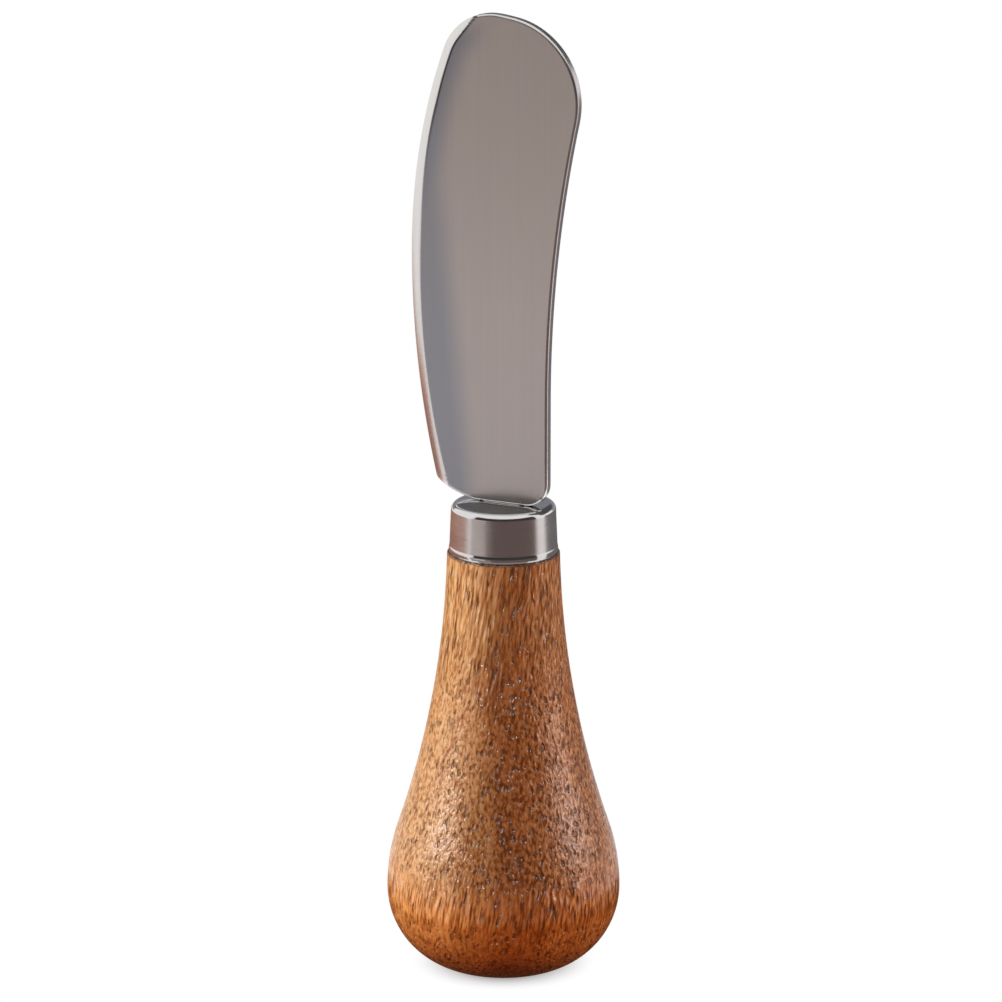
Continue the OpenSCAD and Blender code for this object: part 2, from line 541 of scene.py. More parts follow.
@dataclass(frozen=True)
class FerruleSteel:
    """Drawn stainless steel with marks that run round the axis."""

    name: str
    colour: Colour
    roughness: float
    line_depth: float
    line_pitch: Triple = (6, 6, 0.22)
    cloud_pitch: Triple = (2.2, 2.2, 2.2)
    line_tone: float = 0.1
    cloud_tone: float = 0.06
    roughness_play: float = 0.5

    def material(self) -> bpy.types.Material:
        """Writes the material."""
        shader = Shader.for_material(self.name)
        place = shader.millimetres()
        lines = shader.noise(place, self.line_pitch, detail=1)
        clouds = shader.noise(place, self.cloud_pitch, detail=3)
        shade = 1 + self.line_tone * lines.swing() + self.cloud_tone * clouds.swing()
        return shader.surface(
            Base_Color=shader.shaded(self.colour, shade),
            Metallic=1.0,
            Roughness=self.roughness * (1 + self.roughness_play * clouds.swing()),
            Normal=shader.bump(lines, self.line_depth),
        )


@dataclass(frozen=True)
class TurnedWood:
    """Lacquered hardwood: brown heartwood and, along the side that faces the key lamp, golden sapwood that
    is partly painted light.

    Its vessels show as dark lines along the grain, and as pits where the turning cuts across it.
    Heights and pitches are in millimetres.
    """

    joint_z: float
    # Colours, with the share of the pores' colour in each wood
    heart: tuple[Colour, ...] = ((0.18, 0.055, 0.012), (0.42, 0.147, 0.033), (0.58, 0.265, 0.09))
    sap_and_lit: tuple[Colour, ...] = ((0.4, 0.165, 0.05), (0.73, 0.385, 0.138), (0.82, 0.535, 0.26))
    tones: Triple = (0.39, 0.5, 0.63)
    pore: Colour = (0.09, 0.032, 0.012)
    heart_pore: float = 0.58
    sap_pore: float = 0.38
    # Painted shade: a dark line on the wood where it meets the ferrule
    joint_shade_h: float = 0.4
    joint_shade_share: float = 0.8
    # Where the sapwood lies: on the side that faces the key lamp, so it is partly painted light
    sap_lit_side: float = -64
    sap_edge: Pair = (-0.2, 0.75)
    sap_play: float = 0.5
    sap_foot: Pair = (0, 14)
    # Lean of the grain, and where the turning cuts across it
    lean: float = 8
    lean_axis: float = 26
    cut_slope: Pair = (0.05, 0.22)
    cut_play: float = 0.3
    # Figure, fibres and vessels, with their share in the tone
    figure_pitch: Triple = (3, 3, 18)
    figure_tone: float = 0.2
    fibre_pitch: Triple = (0.35, 0.35, 12)
    fibre_tone: float = 0.4
    hair_pitch: Triple = (0.34, 0.34, 1.8)
    grit_pitch: Triple = (0.4, 0.4, 0.75)
    rough_tone: float = 0.7
    patch_pitch: Triple = (1.1, 1.1, 1.5)
    patch_tone: float = 0.3
    vessel_pitch: Triple = (0.72, 0.72, 3.4)
    vessel_size: Pair = (0.1, 0.37)
    pit_pitch: Triple = (0.78, 0.78, 1.4)
    pit_size: Pair = (0.1, 0.38)
    # Tints along the height: painted shade that darkens and reddens the foot, painted warm light in the
    # band above it and a paler neck; and the calmer underside
    foot_shade_tint: Colour = (1.02, 0.66, 0.45)
    foot_shade_from: Pair = (1, 8)
    band_light_tint: Colour = (1.22, 0.98, 0.7)
    band_to: Pair = (10, 18)
    neck_tint: Colour = (1.07, 1.13, 1.16)
    neck_from: Pair = (40, 52)
    under_from: Pair = (6, 12)
    under_calm: float = 0.25
    # Relief, with the ridges and the grit in depths of a pore
    ridge_pitch: Triple = (0.75, 0.75, 4)
    ridge_relief: float = 3.5
    grit_relief: float = 0.6
    relief: float = 0.24 * MM
    # Sheen, with the lacquer's weight in its dull and its bright places
    roughness: float = 0.24
    roughness_play: float = 0.3
    shine: float = 0.42
    lacquer: Pair = (0.04, 0.48)
    lacquer_from: Pair = (0.48, 0.66)
    lacquer_roughness: float = 0.38

    def material(self) -> bpy.types.Material:
        """Writes the material, with the grain leaning a little from the axis of the turning."""
        shader = Shader.for_material("handle_turned_wood")
        place = shader.millimetres()
        height = shader.node("ShaderNodeSeparateXYZ", None, {"Vector": place}, "Z")
        lean = {"Axis": tuple(compass(self.lean_axis)), "Angle": math.radians(self.lean)}
        settings = {"rotation_type": "AXIS_ANGLE"}
        grain = shader.node("ShaderNodeVectorRotate", settings, {"Vector": place, **lean})
        figure = shader.noise(grain, self.figure_pitch, detail=3)
        fibre = shader.noise(grain, self.fibre_pitch, detail=3)
        hair = shader.noise(grain, self.hair_pitch, detail=2)
        grit = shader.noise(place, self.grit_pitch, detail=2)
        patches = shader.noise(place, self.patch_pitch, detail=1)
        ridges = shader.noise(grain, self.ridge_pitch, detail=1)
        vessels = shader.drops(grain, self.vessel_pitch, self.vessel_size, hair.swing())
        pits = shader.drops(place, self.pit_pitch, self.pit_size, patches.swing())
        across = self._cut_across(shader, figure)
        pores = mixed(vessels, pits, across)
        rough = mixed(hair, grit, across)
        relief = mixed(self.ridge_relief * ridges, self.grit_relief * grit, across) - pores
        calm = mixed(self.under_calm, 1.0, height.eased(*self.under_from))
        shade = self.figure_tone * figure.swing() + self.fibre_tone * fibre.swing()
        shade += self.rough_tone * calm * rough.swing() + self.patch_tone * (1 - calm) * patches.swing()
        # Sapwood and painted light: the side that faces the key lamp is paler and golden
        sap_and_lit_share = self._sapwood_and_lit_side(shader, place, figure) * height.eased(*self.sap_foot)
        wood = self._wood(shader, 0.5 + shade, sap_and_lit_share, height)
        dark = mixed(self.heart_pore, self.sap_pore, sap_and_lit_share) * calm * pores
        # Painted shade on the wood at the ferrule
        painted_joint_shade = height.eased(self.joint_z - self.joint_shade_h, self.joint_z)
        open_wood = shader.blend(dark, wood, self.pore)
        return shader.surface(
            Base_Color=shader.blend(self.joint_shade_share * painted_joint_shade, open_wood, self.pore),
            Roughness=self.roughness + self.roughness_play * rough.swing(),
            Specular_IOR_Level=self.shine,
            Coat_Weight=mixed(*self.lacquer, rough.eased(*self.lacquer_from)) * (1 - pores),
            Coat_Roughness=self.lacquer_roughness,
            Normal=shader.bump(relief, self.relief),
        )

    def _wood(self, shader: Shader, tone: Signal, sap_and_lit_share: Signal, height: Signal) -> Signal:
        """Colour of the wood without its pores.

        Args:
            shader: The material that is being written.
            tone: Place between the dark and the pale wood, around 0.5.
            sap_and_lit_share: Share of sapwood, partly painted light on the side that faces the key lamp.
            height: Height above the foot.

        Returns:
            The colour, tinted along the height with painted shade at the foot and painted warm light in the
            band above it.
        """
        heart, sap_and_lit = (
            shader.node("ShaderNodeValToRGB", {"stops": list(zip(self.tones, colours))}, {"Fac": tone})
            for colours in (self.heart, self.sap_and_lit)
        )
        # Painted shade at the foot, and painted warm light in the band above it
        painted_low_tint = shader.blend(height.eased(*self.foot_shade_from), self.foot_shade_tint, self.band_light_tint)
        high_tint = shader.blend(height.eased(*self.neck_from), WHITE, self.neck_tint)
        tint = shader.blend(height.eased(*self.band_to), painted_low_tint, high_tint)
        return shader.blend(1.0, shader.blend(sap_and_lit_share, heart, sap_and_lit), tint, "MULTIPLY")

    def _cut_across(self, shader: Shader, figure: Signal) -> Signal:
        """1 where the surface slopes so far that it cuts the vessels across, and 0 along them."""
        facing = shader.node("ShaderNodeTexCoord", output="Normal")
        rise = shader.node("ShaderNodeSeparateXYZ", None, {"Vector": facing}, "Z")
        return (rise.most(0 - rise) + self.cut_play * figure.swing()).eased(*self.cut_slope)

    def _sapwood_and_lit_side(self, shader: Shader, place: Signal, figure: Signal) -> Signal:
        """Share of sapwood, which lies along the side of the handle that faces the key lamp and is partly
        painted light.
        """
        level = shader.vector("MULTIPLY", place, (1, 1, 0))
        outward = shader.node("ShaderNodeVectorMath", {"operation": "NORMALIZE"}, {0: level})
        settings = {"operation": "DOT_PRODUCT"}
        sockets = {0: outward, 1: tuple(compass(self.sap_lit_side))}
        facing = shader.node("ShaderNodeVectorMath", settings, sockets, "Value")
        return (facing + self.sap_play * figure.swing()).eased(*self.sap_edge)


@dataclass(frozen=True)
class CuredEpoxy:
    """Amber epoxy, a little cloudy, with fine bubbles."""

    colour: Colour = (0.6, 0.44, 0.2)
    cloudy: Colour = (0.72, 0.6, 0.36)
    cloud_pitch: Triple = (3, 3, 3)
    bubble_pitch: Triple = (0.6, 0.6, 0.6)
    bubble_size: Pair = (0.1, 0.3)
    bubble_depth: float = 0.05 * MM
    roughness: Pair = (0.3, 0.5)

    def material(self) -> bpy.types.Material:
        """Writes the material."""
        shader = Shader.for_material("epoxy_cured")
        place = shader.millimetres()
        clouds = shader.noise(place, self.cloud_pitch, detail=3)
        bubbles = shader.drops(place, self.bubble_pitch, self.bubble_size)
        return shader.surface(
            Base_Color=shader.blend(clouds, self.colour, self.cloudy),
            Roughness=mixed(*self.roughness, bubbles),
            Normal=shader.bump(0 - bubbles, self.bubble_depth),
        )


@dataclass
class Chain:
    """A line through flat points, with a value at each of them."""

    points: np.ndarray
    values: np.ndarray

    @classmethod
    def bare(cls, points: np.ndarray) -> "Chain":
        """A line whose values are all 0."""
        return cls(points, np.zeros(len(points)))

    def nearest(self, places: np.ndarray) -> tuple[np.ndarray, np.ndarray]:
        """Looks up the nearest place on the line.

        Args:
            places: Flat points.

        Returns:
            For each, its distance from the line and the value there.
        """
        start = self.points[:-1]
        way = np.diff(self.points, axis=0)
        offset = places[:, None, :] - start[None]
        part = np.clip((offset * way).sum(2) / (way**2).sum(1), 0, 1)
        gap = np.linalg.norm(offset - part[..., None] * way, axis=2)
        best = gap.argmin(axis=1)
        rows = np.arange(len(places))
        return gap[rows, best], mixed(self.values[best], self.values[best + 1], part[rows, best])


def joined(*stretches: np.ndarray) -> np.ndarray:
    """Joins stretches end to end, with each point once."""
    same = 0.001 * MM
    points = np.vstack(stretches)
    apart = np.linalg.norm(np.diff(points, axis=0), axis=1) > same
    return points[np.concatenate(([True], apart))]


def closed(outline: np.ndarray) -> np.ndarray:
    """Runs an outline back to its first point."""
    return np.vstack((outline, outline[:1]))


@dataclass
class Sheet:
    """Closed outline of a flat part in the XZ plane, run clockwise, and how its edge is finished."""

    outline: np.ndarray
    rounded: Chain
    ground: Optional[Chain] = None

    def inward(self) -> np.ndarray:
        """Direction into the sheet at each point of the outline."""
        way = np.roll(self.outline, -1, axis=0) - np.roll(self.outline, 1, axis=0)
        way /= np.linalg.norm(way, axis=1, keepdims=True)
        return np.column_stack((way[:, 1], -way[:, 0]))

    def depth(self, places: np.ndarray) -> np.ndarray:
        """Distance of places from the outline."""
        return Chain.bare(closed(self.outline)).nearest(places)[0]


@dataclass
class Blade:
    """Stamped blade with a flat tang: rounded edges, a flat grind and a bevel along the belly."""

    thickness: float
    belly_reach: float
    seat_z: float
    tang_end_z: float
    tenon_top_z: float
    steel: BladeSteel = BladeSteel()
    # Outline, with heights above the ferrule
    crown_h: float = 66.6 * MM
    belly_h: float = 33.2 * MM
    belly_low_r: float = 129 * MM
    belly_high_r: float = 82 * MM
    spine_reach: float = 6.8 * MM
    spine_h: float = 14.7 * MM
    spine_r: float = 177 * MM
    crown_r: float = 31.5 * MM
    crown_shift: float = 3.7 * MM
    belly_tip_r: float = 7.8 * MM
    spine_tip_r: float = 11.2 * MM
    heel_curve_r: float = 12 * MM
    heel_start: float = 2.5 * MM
    heel_r: float = 1 * MM
    seat_corner_r: float = 3.2 * MM
    tang_w: float = 6.4 * MM
    notch_r: float = 0.9 * MM
    notches: int = 3
    # Grinding of the belly and rounding of the other edges
    heel_overrun: float = 5.16 * MM
    tip_ground: float = 0.66
    flat_start: float = 3.7 * MM
    flat_lean: float = 6.1
    flat_slope: float = 2
    flat_blend: float = 0.03 * MM
    bevel_edge_angle: float = 18
    bevel_face_angle: float = 10.5
    bevel_w: float = 1.37 * MM
    bevel_blend: float = 0.02 * MM
    land_t: float = 0.4 * MM
    tip_land_t: float = 0.87 * MM
    run_out_lean: float = 39
    run_out_l: float = 8 * MM
    edge_round: float = 0.36 * MM
    # Marks for the material, painted shade and highlights among them, with heights above the ferrule
    flat_shade_fade: Pair = (-1.5 * MM, 2.8 * MM)
    flat_shade_share: float = 0.85
    # Painted shade beside the bevel: the heights where it starts and ends, and its width
    bevel_shade_from: Pair = (22 * MM, 44 * MM)
    bevel_shade_to: Pair = (62 * MM, 66.5 * MM)
    bevel_shade_w: float = 3.8 * MM
    bevel_fade: Pair = (-0.012 * MM, 0.004 * MM)
    # Painted shade: the dark line inside the bevel, from a height and over a width
    painted_line_from: Pair = (42 * MM, 57 * MM)
    painted_line_w: Pair = (0.12 * MM, 0.36 * MM)
    # Painted highlight on the rounded edges: how far in it reaches, and up to which height
    rim_highlight_fade: Pair = (0.8, 1.2)
    rim_highlight_to: Pair = (2.5 * MM, 7 * MM)
    # Fineness of the mesh, with the rings' distances from the edge in millimetres
    step: float = 0.5 * MM
    grid: float = 1.2 * MM
    ring_room: float = 0.97
    rings: tuple[float, ...] = (
        *(0.03, 0.08, 0.15, 0.22, 0.3, 0.38, 0.5, 0.65, 0.8, 0.95, 1.05, 1.12, 1.18),
        *(1.24, 1.3, 1.36, 1.42, 1.48, 1.54, 1.6, 1.68, 1.78, 2.0, 2.5),
    )

    @classmethod
    def from_frame(cls) -> "Blade":
        """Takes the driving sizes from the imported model."""
        low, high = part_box("blade")
        return cls(
            thickness=high.y - low.y,
            belly_reach=-low.x,
            seat_z=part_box("ferrule")[1].z,
            tang_end_z=low.z,
            tenon_top_z=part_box("handle")[1].z,
        )

    def build(self) -> bpy.types.Object:
        """Makes the blade's mesh, the plate and its tang, and dresses it."""
        shell = Shell()
        marks = [self._add_sheet(shell, sheet) for sheet in (self._plate(), self._tang())]
        piece = shell.build("blade_ground", [self.steel.material()])
        for mark in Mark:
            layer = piece.data.attributes.new(mark.value, "FLOAT", "POINT")
            layer.data.foreach_set("value", np.concatenate([shares[mark] for shares in marks]))
        return piece

    def _plate(self) -> Sheet:
        """Outline of the blade above the ferrule, clockwise from the corner of the spine."""
        step = self.step
        belly_low = np.array((self.belly_low_r - self.belly_reach, self.seat_z + self.belly_h))
        belly_high = np.array((self.belly_high_r - self.belly_reach, self.seat_z + self.belly_h))
        spine = np.array((self.spine_reach + self.spine_r, self.seat_z + self.spine_h))
        crown = np.array((-self.crown_shift, self.seat_z + self.crown_h - self.crown_r))
        heel_curve = np.array((-self.heel_start, self.seat_z + self.heel_curve_r))
        corner = np.array((self.spine_reach, self.seat_z)) + self.seat_corner_r * np.array((-1, 1))
        belly_tip = crossing(
            crown, self.crown_r - self.belly_tip_r, belly_high, self.belly_high_r - self.belly_tip_r
        )
        spine_tip = crossing(crown, self.crown_r - self.spine_tip_r, spine, self.spine_r + self.spine_tip_r)
        heel = crossing(
            belly_low, self.belly_low_r - self.heel_r, heel_curve, self.heel_curve_r - self.heel_r
        )
        heel_a, belly_a = aim(heel_curve, heel), aim(belly_low, heel)
        tip_a, crown_a = aim(belly_high, belly_tip), aim(crown, belly_tip)
        spine_tip_a = aim(crown, spine_tip)
        foot = joined(
            line((self.spine_reach, spine[1]), (self.spine_reach, corner[1]), step),
            arc(corner, self.seat_corner_r, 0, -math.pi / 2, step / 2),
            line((corner[0], self.seat_z), (heel_curve[0], self.seat_z), step),
            arc(heel_curve, self.heel_curve_r, -math.pi / 2, heel_a, step),
            arc(heel, self.heel_r, heel_a, belly_a, step / 3),
        )
        edge = joined(
            arc(belly_low, self.belly_low_r, belly_a, -math.pi, step),
            arc(belly_high, self.belly_high_r, math.pi, tip_a, step),
        )
        tip = arc(belly_tip, self.belly_tip_r, tip_a, crown_a, step)
        back = joined(
            arc(crown, self.crown_r, crown_a, spine_tip_a, step),
            arc(spine_tip, self.spine_tip_r, spine_tip_a, aim(spine_tip, spine), step),
            arc(spine, self.spine_r, aim(spine, spine_tip), math.pi, step),
        )
        lean = math.radians(self.run_out_lean)
        overrun_a = belly_a + self.heel_overrun / self.belly_low_r
        past_heel = arc(belly_low, self.belly_low_r, overrun_a, belly_a, step)
        corner_start = arc(belly_tip, self.belly_tip_r, tip_a, math.pi - lean, step)
        past_tip = corner_start[-1] + self.run_out_l * np.array((math.sin(lean), math.cos(lean)))
        ground = joined(past_heel, edge, corner_start, line(corner_start[-1], past_tip, step))
        climb = ease(belly_high[1], belly_tip[1], ground[:, 1])
        lands = mixed(self.land_t, self.tip_land_t, climb) / 2
        plain = joined(tip[round(self.tip_ground * len(tip)):], back, foot)
        outline = joined(foot, edge, tip, back)[:-1]
        return Sheet(outline, Chain.bare(plain), Chain(ground, lands))

    def _tang(self) -> Sheet:
        """Outline of the tang, clockwise from its top corner, with a row of notches in each side."""
        half = self.tang_w / 2
        pitch = (self.tenon_top_z - self.tang_end_z) / (self.notches + 1)
        levels = [self.tang_end_z + pitch * i for i in range(1, self.notches + 1)]
        quarter = math.pi / 2
        step = 2 * self.step
        top = self.seat_z + self.edge_round / 3
        stretches = []
        for side, way in ((half, -1), (-half, 1)):
            level = top if way < 0 else self.tang_end_z
            for notch in levels[::way]:
                centre = np.array((side, notch))
                stretches.append(line((side, level), (side, notch - way * self.notch_r), step))
                stretches.append(arc(centre, self.notch_r, -way * quarter, quarter * (2 - way), step))
                level = notch + way * self.notch_r
            end = self.tang_end_z if way < 0 else top
            stretches.append(line((side, level), (side, end), step))
            stretches.append(line((side, end), (-side, end), step))
        outline = joined(*stretches)[:-1]
        return Sheet(outline, Chain.bare(closed(outline)))

    def _add_sheet(self, shell: Shell, sheet: Sheet) -> dict[Mark, np.ndarray]:
        """Adds both faces and the edge of a sheet.

        Args:
            shell: The mesh that is being made.
            sheet: Its outline and edge.

        Returns:
            How strongly each mark, worked finish and painted light alike, lies on each new vertex.
        """
        places, triangles, rim = self._triangles(sheet)
        heights = self._heights(sheet, places)
        normals = self._normals(sheet, places)
        mirrored = normals * (1, -1, 1)
        fronts = shell.add_points(np.column_stack((places[:, 0], -heights, places[:, 1])))
        backs = shell.add_points(np.column_stack((places[:, 0], heights, places[:, 1])))
        for corners in triangles:
            shell.add_face([fronts[i] for i in corners], [normals[i] for i in corners])
            turned = corners[::-1]
            shell.add_face([backs[i] for i in turned], [mirrored[i] for i in turned])
        outward = -sheet.inward()
        for i, here in enumerate(rim):
            after = (i + 1) % len(rim)
            there = rim[after]
            sideways = [(outward[k][0], 0, outward[k][1]) for k in (i, after, after, i)]
            shell.add_face([fronts[here], fronts[there], backs[there], backs[here]], sideways)
        return {mark: np.tile(shares, 2) for mark, shares in self._marks(sheet, places).items()}

    def _triangles(self, sheet: Sheet) -> tuple[np.ndarray, list[Sequence[int]], list[int]]:
        """Fills an outline with triangles, finer towards the edge.

        Args:
            sheet: The outline.

        Returns:
            The points in the plane, the triangles, and the place of each point of the outline.
        """
        inward = sheet.inward()
        inside = []
        for distance in self.rings:
            ring = sheet.outline + distance * MM * inward
            inside.append(ring[sheet.depth(ring) > self.ring_room * distance * MM])
        low, high = sheet.outline.min(axis=0), sheet.outline.max(axis=0)
        across, up = (np.arange(low[axis], high[axis], self.grid) for axis in range(2))
        grid = np.column_stack([level.ravel() for level in np.meshgrid(across, up)])
        inside.append(grid[sheet.depth(grid) > self.rings[-1] * MM + self.grid / 3])
        count = len(sheet.outline)
        given = [Vector(point) for point in np.vstack((sheet.outline, *inside))]
        loop = [(i, (i + 1) % count) for i in range(count)]
        keep_inside, merge = 1, 1e-9
        points, _, faces, origins, _, _ = delaunay_2d_cdt(given, loop, [], keep_inside, merge)
        rim = [0] * count
        for place, sources in enumerate(origins):
            for source in sources:
                if source < count:
                    rim[source] = place
        return np.array(points), faces, rim

    def _heights(self, sheet: Sheet, places: np.ndarray) -> np.ndarray:
        """Half thickness of a sheet.

        Args:
            sheet: Its outline and edge.
            places: Flat points in the sheet.

        Returns:
            The height of the face above the middle plane at each point.
        """
        half = self.thickness / 2
        away = sheet.rounded.nearest(places)[0]
        curl = np.clip(self.edge_round - away, 0, self.edge_round)
        rounded = half - self.edge_round + np.sqrt(self.edge_round**2 - curl**2)
        if sheet.ground is None:
            return rounded
        face = soft_min(np.full(len(places), half), self._flat(places), self.flat_blend)
        return np.minimum(rounded, soft_min(face, self._bevel(sheet, places), self.bevel_blend))

    def _flat(self, places: np.ndarray) -> np.ndarray:
        """Height of the plane of the flat grind."""
        return self.thickness / 2 - slope(self.flat_slope) * self._past_flat_line(places)

    def _bevel(self, sheet: Sheet, places: np.ndarray) -> np.ndarray:
        """Height of the bevel, which is a little rounder towards the edge."""
        away, land = sheet.ground.nearest(places)
        steep = slope(self.bevel_edge_angle)
        easy = slope(self.bevel_face_angle)
        on_bevel = np.minimum(away, self.bevel_w)
        bend = (steep - easy) / (2 * self.bevel_w)
        return land + steep * on_bevel - bend * on_bevel**2 + easy * (away - on_bevel)

    def _past_flat_line(self, places: np.ndarray) -> np.ndarray:
        """Distance past the line where the flat grind starts, towards the belly."""
        lean = math.radians(self.flat_lean)
        up = places[:, 1] - self.seat_z
        return -(places[:, 0] + self.flat_start) * math.cos(lean) - up * math.sin(lean)

    def _normals(self, sheet: Sheet, places: np.ndarray) -> np.ndarray:
        """Normal of the front face at each point, from the slope of the heights round it."""
        reach = 0.004 * MM
        middle = sheet.outline.mean(axis=0)
        toward = middle - places
        toward /= np.linalg.norm(toward, axis=1, keepdims=True) + reach
        nudge = np.where(sheet.depth(places) < 2 * reach, 3 * reach, 0)
        inside = places + nudge[:, None] * toward
        slopes = []
        for axis in np.eye(2):
            ahead = self._heights(sheet, inside + reach * axis)
            behind = self._heights(sheet, inside - reach * axis)
            slopes.append((ahead - behind) / (2 * reach))
        normals = np.column_stack((-slopes[0], -np.ones(len(places)), -slopes[1]))
        return normals / np.linalg.norm(normals, axis=1, keepdims=True)

    def _marks(self, sheet: Sheet, places: np.ndarray) -> dict[Mark, np.ndarray]:
        """Where the blade is worked and where light and shade are painted, for the material.

        Args:
            sheet: The outline.
            places: Flat points in the sheet.

        Returns:
            The share of each mark at each point.
        """
        if sheet.ground is None:
            return {mark: np.zeros(len(places)) for mark in Mark}
        face = np.minimum(self._flat(places), self.thickness / 2)
        above = self._bevel(sheet, places) - face
        past_bevel = above / slope(self.bevel_face_angle)
        up = places[:, 1] - self.seat_z
        # Painted reflection: the flat grind is painted darker, and on the upper part a painted shade fades
        # out from the bevel
        flat_shade = self.flat_shade_share * ease(*self.flat_shade_fade, self._past_flat_line(places))
        along = ease(*self.bevel_shade_from, up) * (1 - ease(*self.bevel_shade_to, up))
        painted_bevel_shade = along * (1 - ease(0, self.bevel_shade_w, past_bevel))
        on_bevel = 1 - ease(*self.bevel_fade, above)
        # Painted shade: a dark line just inside the bevel, on its upper part
        painted_line = ease(*self.painted_line_from, up) * (1 - ease(*self.painted_line_w, past_bevel))
        # Painted highlight: the rounded edges near the foot
        away = sheet.rounded.nearest(places)[0] / self.edge_round
        rim_highlight = 1 - ease(*self.rim_highlight_fade, away)
        return {
            Mark.FLAT: np.maximum(flat_shade, painted_bevel_shade),
            Mark.BEVEL: on_bevel,
            Mark.LINE: (1 - on_bevel) * painted_line,
            Mark.RIM_HIGHLIGHT: rim_highlight * (1 - ease(*self.rim_highlight_to, up)),
        }


@dataclass
class Ferrule:
    """Drawn ferrule: a satin sleeve between a polished round top and a polished bead."""

    foot_z: float
    seat_z: float
    outer_r: float
    blade_t: float
    top_r: float = 7.1 * MM
    top_round: float = 0.9 * MM
    bead_h: float = 1 * MM
    bead_round: float = 1.6 * MM
    groove: float = 0.1 * MM
    wall: float = 1.1 * MM
    cap: float = 1 * MM
    slot_w: float = 6.6 * MM
    slot_play: float = 0.02 * MM
    sides: int = 192
    step: float = 0.06 * MM
    satin: FerruleSteel = FerruleSteel("ferrule_satin_steel", (0.68, 0.655, 0.64), 0.25, 0.006 * MM)
    polished: FerruleSteel = FerruleSteel("ferrule_polished_steel", (0.7, 0.685, 0.68), 0.12, 0.0005 * MM)

    @classmethod
    def from_frame(cls) -> "Ferrule":
        """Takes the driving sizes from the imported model."""
        low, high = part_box("ferrule")
        blade_low, blade_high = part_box("blade")
        return cls(foot_z=low.z, seat_z=high.z, outer_r=high.x, blade_t=blade_high.y - blade_low.y)

    def build(self) -> bpy.types.Object:
        """Makes the ferrule's mesh and dresses it."""
        shell = Shell()
        bore_r = self.outer_r - self.wall
        under_z = self.seat_z - self.cap
        hollow = np.array(((bore_r - self.wall, under_z), (bore_r, under_z), (bore_r, self.foot_z)))
        swing = math.asin(self.bead_h / 2 / self.bead_round)
        bead_c = np.array((self.outer_r - self.bead_round, self.foot_z + self.bead_h / 2))
        bead = arc(bead_c, self.bead_round, -swing, swing, self.step)
        edge_c = np.array((self.top_r - self.top_round, self.seat_z - self.top_round))
        edge = arc(edge_c, self.top_round, 0, math.pi / 2, self.step)
        sleeve = ((self.outer_r - self.groove, self.foot_z + self.bead_h + self.groove),)
        inner = ((edge_c[0] - self.top_round / 2, self.seat_z),)
        profile = np.vstack((hollow, bead, sleeve, edge, inner))
        zones = [Zone.SATIN] * len(hollow) + [Zone.POLISHED] * (len(bead) - 1)
        zones += [Zone.SATIN] * 2 + [Zone.POLISHED] * len(edge)
        rings = shell.turn(profile, [zone.value for zone in zones], self.sides)
        self._add_slotted_cap(shell, rings[-1], rings[0])
        return shell.build("ferrule_drawn", [self.satin.material(), self.polished.material()])

    def _add_slotted_cap(self, shell: Shell, top: range, under: range) -> None:
        """Closes the cap, with the slot that the tang passes through.

        Args:
            shell: The mesh that is being made.
            top: Ring that the cap's upper face fills.
            under: Ring that its under face fills.
        """
        across, deep = self.slot_w / 2, self.blade_t / 2 + self.slot_play
        right = [(across, -deep), (across, 0), (across, deep)]
        corners = right[1:] + [(-x, -y) for x, y in right] + right[:1]
        levels = (self.seat_z, self.seat_z - self.cap)
        slots = [shell.add_points(np.array([(x, y, level) for x, y in corners])) for level in levels]
        half = self.sides // 2
        faces = ((top, slots[0], 1, Zone.POLISHED), (under, slots[1], -1, Zone.SATIN))
        for ring, slot, up, zone in faces:
            back = [*ring[: half + 1], slot[3], slot[2], slot[1], slot[0]]
            front = [*ring[half:], ring[0], slot[0], slot[5], slot[4], slot[3]]
            for face in (back, front):
                shell.add_face(face[::up], [(0, 0, up)] * len(face), zone.value)
        facing = [(-1, 0, 0), (0, -1, 0), (1, 0, 0), (1, 0, 0), (0, 1, 0), (-1, 0, 0)]
        for i, normal in enumerate(facing):
            after = (i + 1) % len(corners)
            wall = [slots[0][i], slots[0][after], slots[1][after], slots[1][i]]
            shell.add_face(wall, [normal] * len(wall), Zone.SATIN.value)


